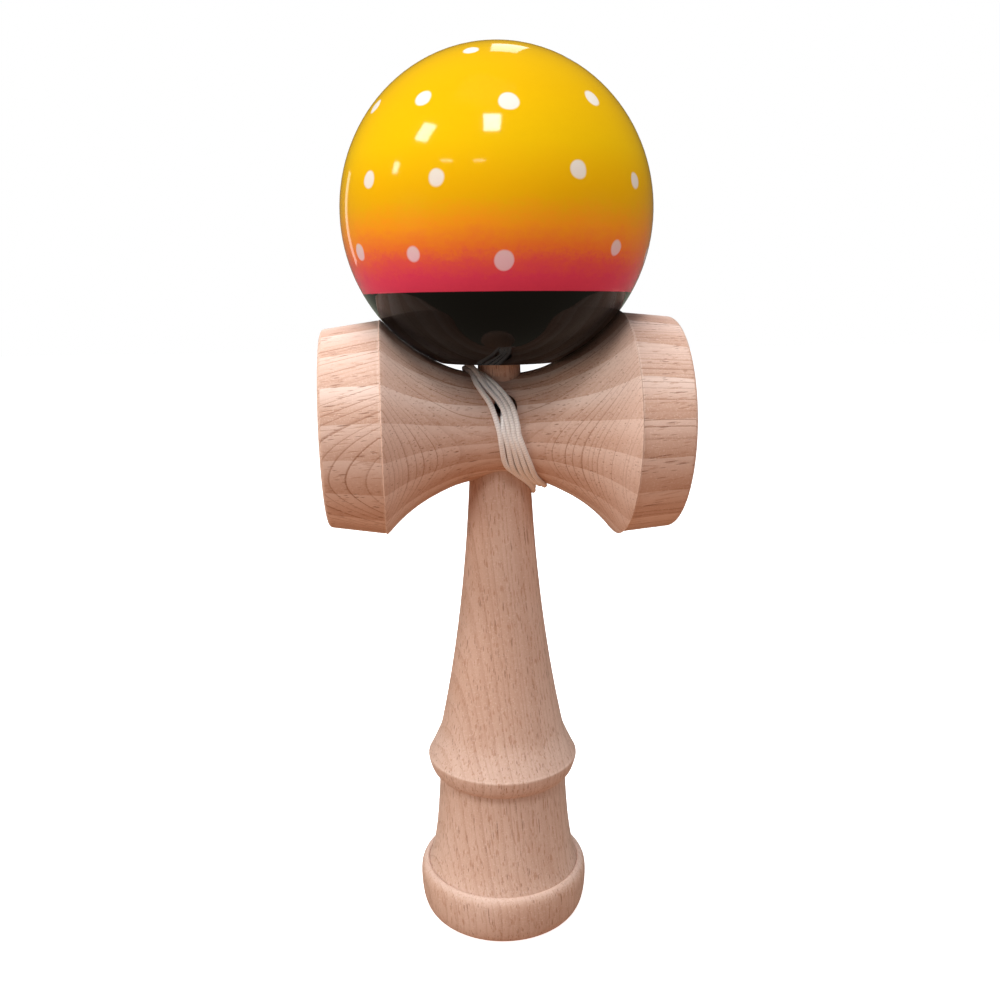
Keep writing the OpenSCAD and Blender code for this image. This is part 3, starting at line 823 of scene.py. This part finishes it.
def ball_finish():
    """Glossy lacquer: yellow to red with white dots, a black cap below, and bare wood in the holes."""
    finish = Finish("ball_lacquer", IOR=1.30)
    spray_scale, speck_scale, mottle_scale = 0.16, 2.6, 0.55
    grain_scale, grain_along_scale = 2.4, 0.25
    spot = finish.vector("SUBTRACT", finish.point(), (BALL_X, 0, BALL_Z))
    x, y, z = finish.parts(spot)
    spray = finish.noise(spot, spray_scale, 3) - 0.5
    speck = finish.noise(spot, speck_scale) - 0.5
    mottle = finish.noise(finish.join(x, y, z * 2), mottle_scale, 4, 0.65) - 0.5
    height = z / BALL_R + spray * SPRAY + mottle * MOTTLE + speck * SPECK
    colour = finish.ramp((height - GRADIENT_LOW) / (GRADIENT_HIGH - GRADIENT_LOW), GRADIENT)
    white = finish.mix(finish.step(height, -0.1, -0.35), DOT_WHITE, DOT_PINK)
    colour = finish.mix(white_dots(finish, spot) * DOT_SHARE, colour, white)
    colour = finish.mix(finish.step(z + spray * CAP_SPRAY, CAP_START, CAP_FULL), colour, CAP_BLACK)

    # The bore and the string hole stay bare
    out_r = finish.vector("LENGTH", finish.join(x, y, 0), out="Value")
    in_bore = finish.step(out_r, BALL_HOLE_R + BARE_START, BALL_HOLE_R + BARE_FULL)
    in_bore = in_bore * finish.step(z, BORE_START, BORE_FULL)
    in_string_hole = finish.step(out_r, BALL_STRING_HOLE_R + STRING_HOLE_EDGE, BALL_STRING_HOLE_R)
    bare = finish.most(in_bore, in_string_hole)
    grain_place = finish.join(x * grain_scale, y * grain_scale, z * grain_along_scale)
    grain = finish.noise(grain_place, detail=3)
    finish.set("Base Color", finish.mix(bare, colour, finish.mix(grain, BARE_PALE, BARE_DARK)))
    finish.set("Roughness", 0.07 + bare * 0.5 + speck * 0.03)
    return finish.material


nodes["tama"].data.materials[0] = ball_finish()


# Floor and light, in metres

FLOOR_HALF = 3.0
FLOOR_GLOW = 0.85
FLOOR_PALE, FLOOR_DIM = (0.86, 0.85, 0.84), (0.84, 0.83, 0.82)
FLOOR_SCALE = 0.004
WHITE = (1, 1, 1)
# Sky from straight below to straight above: what lights the part, and what it mirrors
SKY_LIT = [
    (0.00, (0.55, 0.20, 0.08)),
    (0.28, (0.70, 0.34, 0.18)),
    (0.45, (0.42, 0.31, 0.25)),
    (0.62, (0.17, 0.18, 0.20)),
    (1.00, (0.45, 0.48, 0.52)),
]
SKY_MIRRORED = [
    (0.00, (0.24, 0.22, 0.17)),
    (0.42, (0.30, 0.32, 0.25)),
    (0.60, (0.06, 0.06, 0.05)),
    (1.00, (0.05, 0.05, 0.05)),
]
# Soft lights that nothing mirrors: place, target, width and height, power, colour
SOFT_LIGHTS = {
    "overhead": ((-0.10, -0.12, 1.10), (0, 0, 0.1), (0.45, 0.40), 8.5, WHITE),
    "left_fill": ((-1.00, -0.42, 0.12), (0, 0, 0.06), (0.5, 0.5), 4.9, (1, 0.96, 0.88)),
    "right_fill": ((1.00, -0.42, 0.12), (0, 0, 0.06), (0.5, 0.5), 2.3, (0.95, 1, 1)),
}
# Windows that the lacquer mirrors: direction from the ball, width and height, power
WINDOW_AWAY = 1.2
WINDOWS = {
    "window": ((-0.095, -0.552, 0.828), (0.20, 0.25), 6.0),
    "left_window": ((-0.672, -0.237, 0.702), (0.20, 0.22), 3.6),
    "left_lamp": ((-0.911, -0.101, 0.401), (0.10, 0.12), 0.7),
    "side_strip": ((-0.61, 0.79, 0.06), (0.11, 0.5), 0.3),
    "strip_left": ((-0.592, -0.637, 0.494), (0.16, 0.02), 0.2),
    "strip_right": ((-0.266, -0.824, 0.501), (0.16, 0.02), 0.2),
    "back_window": ((0.12, 0.66, 0.74), (0.16, 0.34), 0.5),
}


def make_floor():
    corners = [(x * FLOOR_HALF, y * FLOOR_HALF, 0) for x, y in ((-1, -1), (1, -1), (1, 1), (-1, 1))]
    mesh = bpy.data.meshes.new("floor")
    mesh.from_pydata(corners, [], [(0, 1, 2, 3)])
    floor = bpy.data.objects.new("floor", mesh)
    bpy.context.scene.collection.objects.link(floor)
    finish = Finish(
        "floor_white",
        Roughness=0.85,
        Specular_IOR_Level=0.1,
        Emission_Color=(*WHITE, 1),
        Emission_Strength=FLOOR_GLOW,
    )
    finish.set("Base Color", finish.mix(finish.noise(finish.point(), FLOOR_SCALE), FLOOR_PALE, FLOOR_DIM))
    mesh.materials.append(finish.material)
    floor.visible_diffuse = False
    floor.visible_glossy = False


def add_light(name, place, target, size, power, colour, mirrored):
    data = bpy.data.lights.new(name, "AREA")
    data.shape = "RECTANGLE"
    data.size, data.size_y = size
    data.energy = power
    data.color = colour
    light = bpy.data.objects.new(name, data)
    light.location = place
    light.rotation_mode = "QUATERNION"
    light.rotation_quaternion = (Vector(target) - Vector(place)).to_track_quat("-Z", "Y")
    light.visible_camera = False
    light.visible_glossy = mirrored
    bpy.context.scene.collection.objects.link(light)


def make_sky():
    """A white backdrop, with light that is cool from above and warm from below."""
    world = bpy.data.worlds.new("studio")
    bpy.context.scene.world = world
    world.use_nodes = True
    sky = Graph(world.node_tree, "Background")
    *_, rise = sky.parts(sky.node("TexCoord", out="Generated"))
    share = sky.node("MapRange", None, {"Value": rise, "From Min": -1})
    mirrors, looks = sky.node("LightPath", out=("Is Glossy Ray", "Is Camera Ray"))
    light = sky.mix(mirrors, sky.ramp(share, SKY_LIT), sky.ramp(share, SKY_MIRRORED))
    sky.set("Color", sky.mix(looks, light, WHITE))


def make_studio():
    bpy.context.scene.view_settings.view_transform = "Standard"
    make_sky()
    for name, (place, target, size, power, colour) in SOFT_LIGHTS.items():
        add_light(name, place, target, size, power, colour, mirrored=False)
    ball = Vector((BALL_X, 0, BALL_Z)) * MM
    for name, (aim, size, power) in WINDOWS.items():
        add_light(name, ball + WINDOW_AWAY * Vector(aim), ball, size, power, WHITE, mirrored=True)


make_floor()
make_studio()
